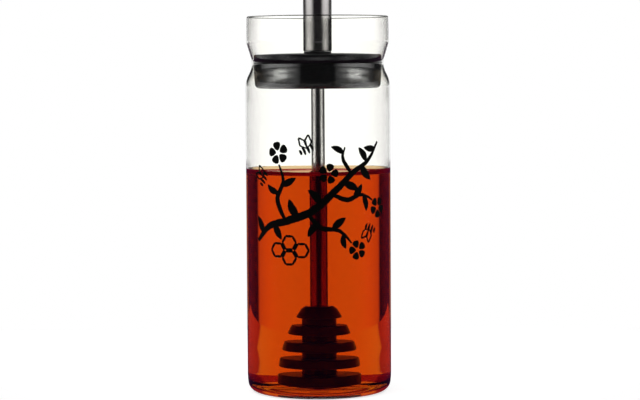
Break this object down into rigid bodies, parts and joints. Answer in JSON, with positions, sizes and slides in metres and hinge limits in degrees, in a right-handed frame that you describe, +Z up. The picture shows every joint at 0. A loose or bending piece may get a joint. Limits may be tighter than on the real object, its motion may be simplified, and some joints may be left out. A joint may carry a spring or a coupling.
{
  "type": "honey dispenser",
  "caption": "Tall clear glass honey jar with a waisted collar, closed by a black plug stopper that carries a steel-handled beehive dipper.",
  "frame": {"origin": "centre of the jar's standing ring, on the surface it stands on", "axes": "+Z up along the jar's axis; the printed front faces -Y"},
  "size_m": [0.065, 0.065, 0.2256],
  "materials": {
    "clear_glass": "clear, fire-polished",
    "honey": "clear amber-red liquid",
    "black_plastic": "glossy black moulding",
    "black_silicone": "satin black",
    "nylon": "matte black",
    "spring_steel": "plain spring steel",
    "polished_steel": "polished stainless steel",
    "head_plastic": "satin black moulding",
    "insert_brass": "turned brass"
  },
  "bodies": {
    "jar": {"glass_jar": "clear_glass", "honey_fill": "honey"},
    "stopper": {"stopper_cap": "black_plastic", "stopper_base": "black_plastic", "stopper_seal": "black_silicone", "rod_bush": "nylon"},
    "dipper": {"dipper_rod": "polished_steel", "dipper_head": "head_plastic", "head_insert": "insert_brass", "handle_tube": "polished_steel", "handle_plug": "polished_steel", "handle_cap": "polished_steel", "retaining_clip": "spring_steel"}
  },
  "joints": [
    {"name": "stopper_lift", "type": "slide", "parent": "jar", "child": "stopper", "axis": [0, 0, 1], "range_m": [0, 0.18], "deforming": ["honey_fill"]},
    {"name": "dipper_spin", "type": "hinge", "parent": "stopper", "child": "dipper", "pos_m": [0, 0, 0.145], "axis": [0, 0, 1], "continuous": true}
  ]
}
